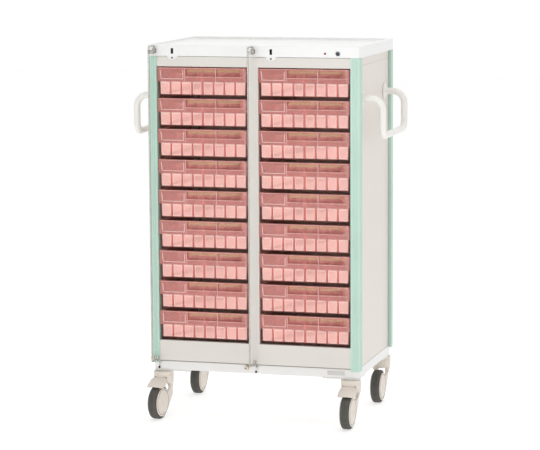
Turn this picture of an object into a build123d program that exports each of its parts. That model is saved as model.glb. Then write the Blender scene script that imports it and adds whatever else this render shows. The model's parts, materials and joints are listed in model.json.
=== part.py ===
"""Unit-dose medication cart: two columns of nine clear drawers with cups, two swing lock bars, four casters.

Millimetres, +Z up, front towards -Y. The model is laid out about the cabinet's own centre, and every part
is moved by Y_SHIFT on export, so that the origin is on the floor at the centre of the whole cart.
"""
import os
from math import cos, radians, sin

from build123d import *

os.makedirs("parts", exist_ok=True)

# ---- Driving dimensions --------------------------------------------------------------------------
WIDTH = 640.0
DEPTH = 430.0
HEIGHT = 1110.0
SHEET = 2.0

# worktop tray
APRON = 34.0
TRAY_CORNER_R = 9.0
RIM_WIDTH = 12.0
RIM_HEIGHT = 8.0
APRON_SHEET = 3.0

# base tray, inset from the corner posts
BASE_INSET_X = 7.0
BASE_INSET_Y = 12.0
BASE_BOTTOM = 143.5
BASE_TOP = 171.5
BASE_SHEET = 3.0

# corner posts and panels
POST_X = 28.5
POST_Y = 28.0
POST_CORNER_R = 7.0
POST_LAP = 6.0
PANEL_RECESS = 8.7
PANEL_GAP = 4.0
PANEL_RETURN = 14.0
BACK_RECESS = 8.0

# front frame and drawer openings
FRAME_RECESS = 2.0
FRAME_RETURN = 15.0
STILE_HALF = 16.5
OPENING_OUT = 290.0
OPENING_TOP = 1045.5
OPENING_BOTTOM = 234.0

# drawers
ROWS = 9
ROW_PITCH = 90.0
ROW_TOP_GAP = 2.5
DRAWER_HEIGHT = 81.5
FRONT_BAND = 41.5
FRONT_HALF = 136.2
FRONT_THICK = 2.5
FRONT_STEP = 6.5
BODY_HALF_TOP = 133.0
BODY_HALF_BOTTOM = 131.6
BODY_WALL = 1.8
BODY_BACK = 180.0
FLANGE_THICK = 2.2
PULL_WIDTH = 166.0
PULL_OFFSET = 34.0
PULL_TOP = 5.0
PULL_HEIGHT = 19.0
PULL_DEEP = 10.0

# medicine cups
CUPS = 8
CUP_PITCH = 32.8
CUP_HALF_TOP = 15.3
CUP_HALF_BOTTOM = 14.4
CUP_WALL = 1.2
CUP_DEPTH = 145.0
CUP_FRONT_HEIGHT = 38.0
CUP_BACK_HEIGHT = 53.0
CUP_CLEAR = 0.3

# drawer runners
RUNNER_THICK = 3.0
RUNNER_FRONT_GAP = 0.5
RUNNER_BACK_GAP = 15.0
RUNNER_CLEAR = 0.5
RUNNER_LAP_IN = 134.0

# side handles
HANDLE_R = 9.75
HANDLE_OUT = 373.0
HANDLE_FRONT = -155.0
HANDLE_BACK = 128.0
HANDLE_TOP = 957.0
HANDLE_LOW = 848.0
HANDLE_BEND_TOP = 30.0
HANDLE_BEND_LOW = 16.0
FLANGE_R = 23.0
FLANGE_T = 5.0

# lock bars, drawn open: each arm points straight forward from its hinge axis
BAR_R = 2.25
BAR_AXIS_X = (-296.0, 3.0)
BAR_STANDOFF = 8.5
BAR_ARM = 48.0
BAR_TOP = 1107.0
BAR_LOW = 178.0
BAR_BEND = 7.0
BAR_TAIL_TOP = 1085.0
BAR_TAIL_LOW = 158.5
BAR_COLLAR_R = 4.0
BAR_COLLAR_Z = (173.5, 187.0)
STRIKER_X = (49.8, 51.8)
STRIKER_Y = (-1.0, 18.5)
STRIKER_Z = (1084.5, 1097.5)
NOTCH_Y = (10.5, 16.5)
NOTCH_Z = (1087.0, 1095.0)

# fittings that carry the lock bars
BARREL_R = 4.5
BARREL_BORE_R = 2.35
BARREL_BORE_Z = (150.0, 1105.0)
BRACKET_GAP = 2.5
UPPER_BARREL_Z = (1084.0, 1099.5)
UPPER_BRACKET_Z = (1086.0, 1097.5)
UPPER_BRACKET_HALF = 5.0
LOWER_BARREL_Z = (157.0, 171.0)
LOWER_BRACKET_Z = (157.0, 165.0)
LOWER_BRACKET_HALF = 4.0
LOWER_PLATE_Z = (144.5, 165.0)
LOWER_PLATE_HALF = 6.5
LOWER_PLATE_THICK = 2.5
BASE_SCREW_R = 3.2
BASE_SCREW_HEAD = 1.8
BASE_SCREW_Z = 150.5
RAIL_SCREW_R = 2.4
RAIL_SCREW_HEAD = 1.6
RAIL_SCREW_Z = 1070.0
BUMPER_R = 6.5
BUMPER_REACH = 7.0
BUMPER_RECESS_R = 2.2
BUMPER_RECESS = 3.0
POST_BUMPER = (-313.0, 180.0)
BASE_BUMPER = (-24.0, 162.0)

# lock in the apron
SLOT_OFFSET = 52.8
SLOT_WIDTH = 7.6
SLOT_Z = (1083.0, 1099.0)
KEY_X = 255.0
KEY_Z = 1088.0
KEY_R = 4.9
KEY_LENGTH = 12.0
KEY_CLEAR = 0.1
BEZEL_R = 7.0
BEZEL_PROUD = 2.0
KEY_SLIT_HALF = (0.6, 3.2)
KEY_SLIT_DEEP = 5.0
CAM_HALF = 3.0
CAM_THICK = 3.0
CAM_REACH = 10.0
SLIDE_DEEP = (5.0, 8.0)
SLIDE_RISE = (0.8, 6.3)
SLIDE_PAST_KEY = 8.0
PRONG_ROOT = (5.0, 12.0)
PRONG_ROOT_TOP = 1095.0
PRONG_TIP = (1.3, 6.0)
PRONG_Z = (1088.0, 1094.0)

# casters
CASTER_X = 287.0
CASTER_Y = 193.0
TRAIL = 40.0
WHEEL_R = 50.0
WHEEL_HALF = 12.5
HUB_R = 34.0
AXLE_R = 4.0
COLLAR_R = 29.5
FORK_TOP = 139.0
CROWN_LOW = 104.0
COVER_R = 42.0
COVER_X = (13.0, 16.0)
STEM_R = 8.0
STEM_LOW = 126.0
PLATE_X = 110.0
PLATE_Y = 90.0
PLATE_THICK = 4.0
FRONT_LEFT_TURN = -7.0
PEDAL_PIN_Y = -13.0
PEDAL_PIN_Z = 113.0
PEDAL_PIN_R = 2.5
PEDAL_SLOT_HALF = 20.5
PEDAL_SLOT_Y = (-31.0, -3.0)
PEDAL_SLOT_TOP = 124.0
PEDAL_ROOT_HALF = 20.0
PEDAL_BLADE_HALF = 25.0
PIN_HALF = 25.0
FLARE_HALF = 28.5
LEG_TOP = 112.0
STEM_CLEAR = 0.1
PIN_CLEAR = 0.1
HUB_CLEAR = 0.15
TYRE_ROUND = 5.0

# ---- Derived places ------------------------------------------------------------------------------
FRONT = -DEPTH / 2
BACK = DEPTH / 2
TRAY_LOW = HEIGHT - APRON
FRAME_FRONT = FRONT + FRAME_RECESS
OPENING_MID = (OPENING_OUT + STILE_HALF) / 2
PANEL_OUT = WIDTH / 2 - PANEL_RECESS
PANEL_IN = PANEL_OUT - SHEET
POST_INNER = WIDTH / 2 - POST_X
BAR_Y = FRONT - BAR_STANDOFF
BASE_HALF_X = WIDTH / 2 - BASE_INSET_X
BASE_HALF_Y = DEPTH / 2 - BASE_INSET_Y
TURN = radians(abs(FRONT_LEFT_TURN))
WHEEL_REACH = (TRAIL + WHEEL_R - TYRE_ROUND) * cos(TURN) + (WHEEL_HALF - TYRE_ROUND) * sin(TURN) + TYRE_ROUND
Y_SHIFT = (WHEEL_REACH - COLLAR_R) / 2


def block(x, y, z):
    """Box between two limits on each axis."""
    size = [limits[1] - limits[0] for limits in (x, y, z)]
    middle = [(limits[1] + limits[0]) / 2 for limits in (x, y, z)]
    return Pos(*middle) * Box(*size)


def cylinder_z(radius, x, y, z):
    return Pos(x, y, (z[0] + z[1]) / 2) * Cylinder(radius, z[1] - z[0])


def cylinder_x(radius, x, y, z):
    return Pos((x[0] + x[1]) / 2, y, z) * Rot(0, 90, 0) * Cylinder(radius, x[1] - x[0])


def cylinder_y(radius, x, y, z):
    return Pos(x, (y[0] + y[1]) / 2, z) * Rot(90, 0, 0) * Cylinder(radius, y[1] - y[0])


def prism_y(outline, y):
    """Prism along Y over an outline of (x, z) points."""
    wire = Wire.make_polygon([(px, y[0], pz) for px, pz in outline], close=True)
    return extrude(Face(wire), amount=y[1] - y[0], dir=(0, 1, 0))


def prism_x(outline, x):
    """Prism along X over an outline of (y, z) points."""
    wire = Wire.make_polygon([(x[0], py, pz) for py, pz in outline], close=True)
    return extrude(Face(wire), amount=x[1] - x[0], dir=(1, 0, 0))


def rounded_box(half_x, half_y, z, radius):
    """Box centred on the Z axis with rounded upright edges."""
    outline = RectangleRounded(2 * half_x, 2 * half_y, radius)
    return Pos(0, 0, z[0]) * extrude(outline, amount=z[1] - z[0])


def tube(points, radius, bend):
    """Round bar along straight runs joined by arcs."""
    path = FilletPolyline(*points, radius=bend)
    profile = Plane(origin=path @ 0, z_dir=path % 0) * Circle(radius)
    return sweep(profile, path=path)


def export(name, *solids):
    """Write one node: the solids are kept separate in a compound."""
    moved = []
    for shape in solids:
        moved += (Pos(0, Y_SHIFT, 0) * shape).solids()
    shape = moved[0] if len(moved) == 1 else Compound(children=moved)
    shape.label = name
    export_step(shape, f"parts/{name}.step")


# ---- Worktop and base ----------------------------------------------------------------------------
def make_top_tray():
    shell = rounded_box(WIDTH / 2, DEPTH / 2, (TRAY_LOW, HEIGHT), TRAY_CORNER_R)
    deck_top = HEIGHT - RIM_HEIGHT
    inner_x = WIDTH / 2 - RIM_WIDTH
    inner_y = DEPTH / 2 - RIM_WIDTH
    shell -= block((-inner_x, inner_x), (-inner_y, inner_y), (deck_top, HEIGHT + 1))
    hollow_x = WIDTH / 2 - APRON_SHEET
    hollow_y = DEPTH / 2 - APRON_SHEET
    under = deck_top - APRON_SHEET
    shell -= block((-hollow_x, hollow_x), (-hollow_y, hollow_y), (TRAY_LOW - 1, under))
    for axis_x in BAR_AXIS_X:
        middle = axis_x + SLOT_OFFSET
        slot_x = (middle - SLOT_WIDTH / 2, middle + SLOT_WIDTH / 2)
        shell -= block(slot_x, (FRONT - 1, FRONT + APRON_SHEET + 1), SLOT_Z)
    shell -= cylinder_y(KEY_R + KEY_CLEAR, KEY_X, (FRONT - 1, FRONT + APRON_SHEET + 1), KEY_Z)
    return shell


def make_base_tray():
    """The base pan, and a swivel plate with its stem under each corner."""
    pan = rounded_box(BASE_HALF_X, BASE_HALF_Y, (BASE_BOTTOM, BASE_TOP), TRAY_CORNER_R)
    inner_x = BASE_HALF_X - BASE_SHEET
    inner_y = BASE_HALF_Y - BASE_SHEET
    pan -= block((-inner_x, inner_x), (-inner_y, inner_y), (BASE_BOTTOM - 1, BASE_TOP - BASE_SHEET))
    solids = [pan]
    for side in (-1, 1):
        for end in (-1, 1):
            plate_x = sorted((side * BASE_HALF_X, side * (BASE_HALF_X - PLATE_X)))
            plate_y = sorted((end * BASE_HALF_Y, end * (BASE_HALF_Y - PLATE_Y)))
            plate = block(plate_x, plate_y, (BASE_BOTTOM - PLATE_THICK, BASE_BOTTOM))
            stem_z = (STEM_LOW, BASE_BOTTOM - PLATE_THICK / 2)
            solids.append(plate + cylinder_z(STEM_R, side * CASTER_X, end * CASTER_Y, stem_z))
    return solids


# ---- Posts, panels and frame ---------------------------------------------------------------------
def make_corner_posts():
    """Extruded posts; the outer skin of each laps over the base tray."""
    posts = []
    base_z = (BASE_TOP - POST_LAP - 1, BASE_TOP)
    base_keep_out = block((-BASE_HALF_X, BASE_HALF_X), (-BASE_HALF_Y, BASE_HALF_Y), base_z)
    for side in (-1, 1):
        for end in (-1, 1):
            post_x = sorted((side * WIDTH / 2, side * POST_INNER))
            post_y = sorted((end * DEPTH / 2, end * (DEPTH / 2 - POST_Y)))
            post = block(post_x, post_y, (BASE_TOP - POST_LAP, TRAY_LOW))
            corner = [
                edge
                for edge in post.edges().filter_by(Axis.Z)
                if abs(edge.center().X) > WIDTH / 2 - 1 and abs(edge.center().Y) > DEPTH / 2 - 1
            ]
            posts.append(fillet(corner, POST_CORNER_R) - base_keep_out)
    return posts


def make_side_panels():
    """Sheet panels between the posts, with returns folded inwards front and back."""
    front = FRONT + POST_Y
    back = BACK - POST_Y - PANEL_GAP
    panels = []
    for side in (-1, 1):
        sheet_x = sorted((side * PANEL_OUT, side * PANEL_IN))
        return_x = sorted((side * PANEL_OUT, side * (PANEL_OUT - PANEL_RETURN)))
        panel = block(sheet_x, (front, back), (BASE_TOP, TRAY_LOW))
        panel += block(return_x, (front, front + SHEET), (BASE_TOP, TRAY_LOW))
        panel += block(return_x, (back - SHEET, back), (BASE_TOP, TRAY_LOW))
        panels.append(panel)
    return panels


def make_back_panel():
    outer = BACK - BACK_RECESS
    return block((-POST_INNER, POST_INNER), (outer - SHEET, outer), (BASE_TOP, TRAY_LOW))


def make_centre_wall():
    front = FRAME_FRONT + FRAME_RETURN
    back = BACK - BACK_RECESS - SHEET
    return block((-SHEET / 2, SHEET / 2), (front, back), (BASE_TOP, TRAY_LOW))


def make_front_frame():
    """Top rail, bottom rail and centre stile, each a folded channel open to the back."""
    deep = (FRAME_FRONT, FRAME_FRONT + FRAME_RETURN)
    rails = []
    for low, high in ((OPENING_TOP, TRAY_LOW), (BASE_TOP, OPENING_BOTTOM)):
        rail = block((-POST_INNER, POST_INNER), deep, (low, high))
        hollow_x = (-POST_INNER - 1, POST_INNER + 1)
        rail -= block(hollow_x, (deep[0] + SHEET, deep[1] + 1), (low + SHEET, high - SHEET))
        rails.append(rail)
    stile = block((-STILE_HALF, STILE_HALF), deep, (OPENING_BOTTOM, OPENING_TOP))
    inner = STILE_HALF - SHEET
    stile -= block((-inner, inner), (deep[0] + SHEET, deep[1] + 1), (OPENING_BOTTOM - 1, OPENING_TOP + 1))
    return rails + [stile]


def row_top(row):
    """Height of the top of a drawer, counted from the top row."""
    return OPENING_TOP - ROW_TOP_GAP - ROW_PITCH * row


def make_runners():
    """A pair of ledges for each drawer, under the flanges along its sides."""
    ledges = []
    along = (FRONT + POST_Y + SHEET + RUNNER_FRONT_GAP, BODY_BACK - RUNNER_BACK_GAP)
    for side in (-1, 1):
        for row in range(ROWS):
            top = row_top(row) - FLANGE_THICK - RUNNER_CLEAR
            for limits in ((OPENING_MID + RUNNER_LAP_IN, PANEL_IN), (SHEET / 2, OPENING_MID - RUNNER_LAP_IN)):
                ledges.append(block(sorted(side * x for x in limits), along, (top - RUNNER_THICK, top)))
    return ledges


# ---- Drawers and cups ----------------------------------------------------------------------------
def make_drawer(column, row):
    """Clear tray: narrow body, wider front band with a finger pull, and a flange along each side."""
    middle = column * OPENING_MID
    top = row_top(row)
    low = top - DRAWER_HEIGHT
    step = top - FRONT_BAND
    body_front = FRONT + FRONT_STEP

    def across(half_low, half_high, bottom, ceiling, y):
        outline = [
            (middle - half_low, bottom),
            (middle + half_low, bottom),
            (middle + half_high, ceiling),
            (middle - half_high, ceiling),
        ]
        return prism_y(outline, y)

    tray = across(BODY_HALF_BOTTOM, BODY_HALF_TOP, low, top, (body_front, BODY_BACK))
    front_x = (middle - FRONT_HALF, middle + FRONT_HALF)
    tray += block(front_x, (FRONT, body_front + BODY_WALL), (step, top))
    tray += block(front_x, (body_front, BODY_BACK), (top - FLANGE_THICK, top))
    half_low = BODY_HALF_BOTTOM - BODY_WALL
    half_high = BODY_HALF_TOP - BODY_WALL
    cavity_y = (body_front + BODY_WALL, BODY_BACK - BODY_WALL)
    tray -= across(half_low, half_high, low + BODY_WALL, top + 1, cavity_y)
    band_x = (middle - half_low, middle + half_low)
    tray -= block(band_x, (FRONT + FRONT_THICK, cavity_y[0] + 1), (step + BODY_WALL, top + 1))

    pull_mid = middle + PULL_OFFSET
    pull_x = (pull_mid - PULL_WIDTH / 2, pull_mid + PULL_WIDTH / 2)
    pull_z = (top - PULL_TOP - PULL_HEIGHT, top - PULL_TOP)
    wall = BODY_WALL
    pocket_x = (pull_x[0] - wall, pull_x[1] + wall)
    pocket_z = (pull_z[0] - wall, pull_z[1] + wall)
    tray += block(pocket_x, (FRONT, FRONT + PULL_DEEP + wall), pocket_z)
    tray -= block(pull_x, (FRONT - 1, FRONT + PULL_DEEP), pull_z)
    return tray


def make_cups(column, row):
    """Eight open cups in a row, each higher at the back than at the front."""
    floor = row_top(row) - DRAWER_HEIGHT + BODY_WALL + CUP_CLEAR
    front = FRONT + FRONT_STEP + BODY_WALL + CUP_CLEAR
    back = front + CUP_DEPTH
    slope = [
        (front - 1, floor + CUP_FRONT_HEIGHT),
        (front, floor + CUP_FRONT_HEIGHT),
        (back, floor + CUP_BACK_HEIGHT),
        (back + 1, floor + CUP_BACK_HEIGHT),
        (back + 1, floor + CUP_BACK_HEIGHT + 20),
        (front - 1, floor + CUP_BACK_HEIGHT + 20),
    ]
    cups = []
    for place in range(CUPS):
        middle = column * OPENING_MID + (place - (CUPS - 1) / 2) * CUP_PITCH
        outside = [
            (middle - CUP_HALF_BOTTOM, floor),
            (middle + CUP_HALF_BOTTOM, floor),
            (middle + CUP_HALF_TOP, floor + CUP_BACK_HEIGHT),
            (middle - CUP_HALF_TOP, floor + CUP_BACK_HEIGHT),
        ]
        inside = [
            (middle - CUP_HALF_BOTTOM + CUP_WALL, floor + CUP_WALL),
            (middle + CUP_HALF_BOTTOM - CUP_WALL, floor + CUP_WALL),
            (middle + CUP_HALF_TOP - CUP_WALL, floor + CUP_BACK_HEIGHT + 1),
            (middle - CUP_HALF_TOP + CUP_WALL, floor + CUP_BACK_HEIGHT + 1),
        ]
        cup = prism_y(outside, (front, back)) - prism_y(inside, (front + CUP_WALL, back - CUP_WALL))
        cups.append(cup - prism_x(slope, (middle - CUP_PITCH, middle + CUP_PITCH)))
    return cups


# ---- Handles -------------------------------------------------------------------------------------
def make_handles():
    """A drooping tube loop on each side, with a round flange at each end."""
    solids = []
    for side in (-1, 1):
        face = side * (PANEL_OUT + FLANGE_T)
        out = side * HANDLE_OUT
        points = [
            (face, HANDLE_FRONT, HANDLE_TOP),
            (out, HANDLE_FRONT, HANDLE_TOP),
            (out, HANDLE_FRONT, HANDLE_LOW),
            (out, HANDLE_BACK, HANDLE_LOW),
            (out, HANDLE_BACK, HANDLE_TOP),
            (face, HANDLE_BACK, HANDLE_TOP),
        ]
        bends = (HANDLE_BEND_TOP, HANDLE_BEND_LOW, HANDLE_BEND_LOW, HANDLE_BEND_TOP)
        solids.append(tube(points, HANDLE_R, bends))
        for along in (HANDLE_FRONT, HANDLE_BACK):
            flange_x = sorted((side * PANEL_OUT, face))
            solids.append(cylinder_x(FLANGE_R, flange_x, along, HANDLE_TOP))
    return solids


# ---- Lock bars and lock --------------------------------------------------------------------------
def make_lock_bar(axis_x):
    """Bent rod hinged top and bottom, with a notched striker that enters the apron slot when closed."""
    points = [
        (0, 0, BAR_TAIL_LOW),
        (0, 0, BAR_LOW),
        (BAR_ARM, 0, BAR_LOW),
        (BAR_ARM, 0, BAR_TOP),
        (0, 0, BAR_TOP),
        (0, 0, BAR_TAIL_TOP),
    ]
    bar = tube(points, BAR_R, BAR_BEND)
    bar += cylinder_z(BAR_COLLAR_R, 0, 0, BAR_COLLAR_Z)
    bar += block(STRIKER_X, STRIKER_Y, STRIKER_Z)
    bar -= block((STRIKER_X[0] - 1, STRIKER_X[1] + 1), NOTCH_Y, NOTCH_Z)
    return Pos(axis_x, BAR_Y, 0) * Rot(0, 0, -90) * bar


def make_bar_fittings():
    """Upper barrels on the apron and lower barrels on screwed brackets, one pair for each bar."""
    fittings = []
    screws = []
    base_front = -BASE_HALF_Y
    plate_front = base_front - LOWER_PLATE_THICK
    bracket_from = BAR_Y + BRACKET_GAP
    for axis_x in BAR_AXIS_X:
        upper_x = (axis_x - UPPER_BRACKET_HALF, axis_x + UPPER_BRACKET_HALF)
        lower_x = (axis_x - LOWER_BRACKET_HALF, axis_x + LOWER_BRACKET_HALF)
        plate_x = (axis_x - LOWER_PLATE_HALF, axis_x + LOWER_PLATE_HALF)
        upper = cylinder_z(BARREL_R, axis_x, BAR_Y, UPPER_BARREL_Z)
        upper += block(upper_x, (bracket_from, FRONT), UPPER_BRACKET_Z)
        lower = cylinder_z(BARREL_R, axis_x, BAR_Y, LOWER_BARREL_Z)
        lower += block(lower_x, (bracket_from, base_front), LOWER_BRACKET_Z)
        lower += block(plate_x, (plate_front, base_front), LOWER_PLATE_Z)
        for barrel in (upper, lower):
            fittings.append(barrel - cylinder_z(BARREL_BORE_R, axis_x, BAR_Y, BARREL_BORE_Z))
        head_y = (plate_front - BASE_SCREW_HEAD, plate_front)
        screws.append(cylinder_y(BASE_SCREW_R, axis_x, head_y, BASE_SCREW_Z))
        head_y = (FRAME_FRONT - RAIL_SCREW_HEAD, FRAME_FRONT)
        screws.append(cylinder_y(RAIL_SCREW_R, axis_x + SLOT_OFFSET, head_y, RAIL_SCREW_Z))
    return fittings + screws


def make_bar_bumpers():
    """Round stops beside the lower brackets, each with a screw recess."""
    solids = []
    reach = FRONT - BUMPER_REACH
    for (place_x, place_z), face in ((POST_BUMPER, FRONT), (BASE_BUMPER, -BASE_HALF_Y)):
        bumper = cylinder_y(BUMPER_R, place_x, (reach, face), place_z)
        recess_y = (reach - 1, reach + BUMPER_RECESS)
        solids.append(bumper - cylinder_y(BUMPER_RECESS_R, place_x, recess_y, place_z))
    return solids


def make_key_cylinder():
    """Lock barrel through the apron, with a bezel in front, a key slit and a cam behind."""
    lock = cylinder_y(BEZEL_R, KEY_X, (FRONT - BEZEL_PROUD, FRONT), KEY_Z)
    lock += cylinder_y(KEY_R, KEY_X, (FRONT, FRONT + KEY_LENGTH), KEY_Z)
    cam_y = (FRONT + KEY_LENGTH - CAM_THICK, FRONT + KEY_LENGTH)
    lock += block((KEY_X - CAM_HALF, KEY_X + CAM_HALF), cam_y, (KEY_Z - CAM_REACH, KEY_Z))
    slit_x, slit_z = KEY_SLIT_HALF
    slit_y = (FRONT - BEZEL_PROUD - 1, FRONT + KEY_SLIT_DEEP)
    return lock - block((KEY_X - slit_x, KEY_X + slit_x), slit_y, (KEY_Z - slit_z, KEY_Z + slit_z))


def make_lock_slide():
    """Flat bar behind the apron; its two prongs enter the striker notches when it slides left."""
    thick = (FRONT + SLIDE_DEEP[0], FRONT + SLIDE_DEEP[1])
    low = TRAY_LOW + SLIDE_RISE[0]
    first = BAR_AXIS_X[0] + SLOT_OFFSET + PRONG_ROOT[0]
    slide = block((first, KEY_X + SLIDE_PAST_KEY), thick, (low, TRAY_LOW + SLIDE_RISE[1]))
    for axis_x in BAR_AXIS_X:
        middle = axis_x + SLOT_OFFSET
        slide += block((middle + PRONG_ROOT[0], middle + PRONG_ROOT[1]), thick, (low, PRONG_ROOT_TOP))
        slide += block((middle + PRONG_TIP[0], middle + PRONG_TIP[1]), thick, PRONG_Z)
    return slide


# ---- Casters -------------------------------------------------------------------------------------
def make_fork(braked):
    """Swivel housing about its own axis, wheel trailing towards -Y: crown, two legs with round covers."""
    axle_y = -TRAIL
    leg_outline = [
        (-24, LEG_TOP),
        (26, LEG_TOP),
        (26, 66),
        (0, 38),
        (-22, 20),
        (-58, 20),
        (-64, 56),
        (-50, 88),
        (-30, 99),
    ]
    flare = [
        (COVER_X[0], 5),
        (COVER_X[1], 5),
        (COVER_X[1], 62),
        (FLARE_HALF, 100),
        (FLARE_HALF, LEG_TOP),
        (COVER_X[0], LEG_TOP),
    ]
    legs = prism_x(leg_outline, (COVER_X[0], 30)) & prism_y(flare, (-80, 40))
    slim = block((0, COVER_X[1]), (-90, 40), (0, LEG_TOP))
    legs &= slim + cylinder_z(COLLAR_R, 0, 0, (0, LEG_TOP))
    legs += cylinder_x(COVER_R, COVER_X, axle_y, WHEEL_R)
    fork = cylinder_z(COLLAR_R, 0, 0, (CROWN_LOW, FORK_TOP))
    fork += legs
    fork += mirror(legs, about=Plane.YZ)
    fork -= cylinder_z(STEM_R + STEM_CLEAR, 0, 0, (STEM_LOW - 0.5, FORK_TOP + 1))
    fork -= cylinder_x(AXLE_R, (-COVER_X[1] - 1, COVER_X[1] + 1), axle_y, WHEEL_R)
    axle = cylinder_x(AXLE_R, (-COVER_X[1], COVER_X[1]), axle_y, WHEEL_R)
    if not braked:
        return [fork, axle]
    slot_x = (-PEDAL_SLOT_HALF, PEDAL_SLOT_HALF)
    fork -= block(slot_x, PEDAL_SLOT_Y, (CROWN_LOW - 1, PEDAL_SLOT_TOP))
    fork -= cylinder_x(PEDAL_PIN_R, (-PIN_HALF - 1, PIN_HALF + 1), PEDAL_PIN_Y, PEDAL_PIN_Z)
    pin = cylinder_x(PEDAL_PIN_R, (-PIN_HALF, PIN_HALF), PEDAL_PIN_Y, PEDAL_PIN_Z)
    return [fork, axle, pin]


def make_pedal():
    """Foot pedal hinged in the crown: narrow root, wide blade over the wheel."""
    root = [(-6, 106), (-6, 120.5), (-32, 120), (-32, 106)]
    blade = [(-31, 106), (-31, 120), (-50, 115), (-66, 107), (-68, 101.5), (-60, 101.5), (-44, 105.5)]
    pedal = prism_x(root, (-PEDAL_ROOT_HALF, PEDAL_ROOT_HALF))
    pedal += prism_x(blade, (-PEDAL_BLADE_HALF, PEDAL_BLADE_HALF))
    return pedal - cylinder_x(PEDAL_PIN_R + PIN_CLEAR, (-PIN_HALF - 1, PIN_HALF + 1), PEDAL_PIN_Y, PEDAL_PIN_Z)


def make_wheel():
    """Tyre with rounded shoulders on a plain hub that turns on the axle."""
    tyre = Rot(0, 90, 0) * Cylinder(WHEEL_R, 2 * WHEEL_HALF)
    tyre = fillet(tyre.edges(), TYRE_ROUND) - Rot(0, 90, 0) * Cylinder(HUB_R, 2 * WHEEL_HALF + 2)
    hub = Rot(0, 90, 0) * (Cylinder(HUB_R, 2 * WHEEL_HALF - 2) - Cylinder(AXLE_R + HUB_CLEAR, 2 * WHEEL_HALF))
    place = Pos(0, -TRAIL, WHEEL_R)
    return [place * tyre, place * hub]


def export_casters():
    corners = (
        ("front_left", -1, -1, FRONT_LEFT_TURN),
        ("front_right", 1, -1, 0.0),
        ("rear_left", -1, 1, 0.0),
        ("rear_right", 1, 1, 0.0),
    )
    for name, side, end, turn in corners:
        place = Pos(side * CASTER_X, end * CASTER_Y, 0) * Rot(0, 0, turn)
        braked = end < 0
        export(f"caster_fork_{name}", *[place * solid for solid in make_fork(braked)])
        export(f"wheel_{name}", *[place * solid for solid in make_wheel()])
        if braked:
            export(f"brake_pedal_{name}", place * make_pedal())


def main():
    export("top_tray", make_top_tray())
    export("base_tray", *make_base_tray())
    export("corner_posts", *make_corner_posts())
    export("side_panels", *make_side_panels())
    export("back_panel", make_back_panel())
    export("centre_wall", make_centre_wall())
    export("front_frame", *make_front_frame())
    export("drawer_runners", *make_runners())
    export("side_handles", *make_handles())
    for name, axis_x in zip(("left", "right"), BAR_AXIS_X):
        export(f"lock_bar_{name}", make_lock_bar(axis_x))
    export("bar_fittings", *make_bar_fittings(), *make_bar_bumpers())
    export("key_cylinder", make_key_cylinder())
    export("lock_slide", make_lock_slide())
    for side, column in (("left", -1), ("right", 1)):
        for row in range(ROWS):
            export(f"drawer_{side}_{row + 1}", make_drawer(column, row))
            export(f"cups_{side}_{row + 1}", *make_cups(column, row))
    export_casters()


main()
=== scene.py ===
"""Looks of a medication cart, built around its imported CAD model.

Shapes are made in millimetres about the cabinet's own middle, and piece() turns them into metres in the
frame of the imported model.
"""
import json
from math import atan2, cos, pi, radians, sin, tan

import bmesh
import bpy
from mathutils import Matrix, Vector


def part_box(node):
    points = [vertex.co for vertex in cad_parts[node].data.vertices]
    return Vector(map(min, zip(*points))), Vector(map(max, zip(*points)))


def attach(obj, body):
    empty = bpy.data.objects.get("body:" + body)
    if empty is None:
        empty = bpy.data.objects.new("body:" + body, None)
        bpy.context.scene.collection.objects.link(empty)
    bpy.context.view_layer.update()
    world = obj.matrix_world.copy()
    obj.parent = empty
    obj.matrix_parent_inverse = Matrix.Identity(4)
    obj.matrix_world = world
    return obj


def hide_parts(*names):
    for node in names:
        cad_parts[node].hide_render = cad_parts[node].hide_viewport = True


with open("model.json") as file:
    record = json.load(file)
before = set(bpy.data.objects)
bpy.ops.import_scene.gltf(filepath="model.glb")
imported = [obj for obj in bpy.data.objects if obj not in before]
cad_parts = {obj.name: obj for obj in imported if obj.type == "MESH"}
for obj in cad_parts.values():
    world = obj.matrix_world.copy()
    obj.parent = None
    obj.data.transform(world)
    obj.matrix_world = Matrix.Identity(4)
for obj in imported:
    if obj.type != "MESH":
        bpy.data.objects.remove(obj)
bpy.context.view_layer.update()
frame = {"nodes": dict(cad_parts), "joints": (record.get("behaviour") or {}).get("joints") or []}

MM = 0.001


# ---- Places read from the frame, in millimetres ----
def limits(node):
    """Lowest and highest corner of a CAD node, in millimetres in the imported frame."""
    low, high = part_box(node)
    return low / MM, high / MM


TRAY_LOW, TRAY_HIGH = limits("top_tray")
BASE_HIGH = limits("base_tray")[1]
FRAME_LOW, FRAME_HIGH = limits("front_frame")
PANEL_LOW, PANEL_HIGH = limits("side_panels")
BACK_LOW, BACK_HIGH = limits("back_panel")
DRAWER_LOW, DRAWER_HIGH = limits("drawer_right_1")
CUPS_LOW, CUPS_HIGH = limits("cups_right_1")
GRIP_HIGH = limits("side_handles")[1]

HALF_X = TRAY_HIGH.x
MIDDLE_Y = (TRAY_LOW.y + TRAY_HIGH.y) / 2
HALF_Y = TRAY_HIGH.y - MIDDLE_Y
TOP = TRAY_HIGH.z
APRON_LOW = TRAY_LOW.z
BASE_HALF_X = BASE_HIGH.x
BASE_HALF_Y = BASE_HIGH.y - MIDDLE_Y
BASE_TOP = BASE_HIGH.z
COLUMN_X = (DRAWER_LOW.x + DRAWER_HIGH.x) / 2
JOINTS = {joint["name"]: joint for joint in frame["joints"]}


def joint_place(name):
    """Where a joint is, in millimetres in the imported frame."""
    return tuple(v / MM for v in JOINTS[name]["pos_m"])


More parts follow.
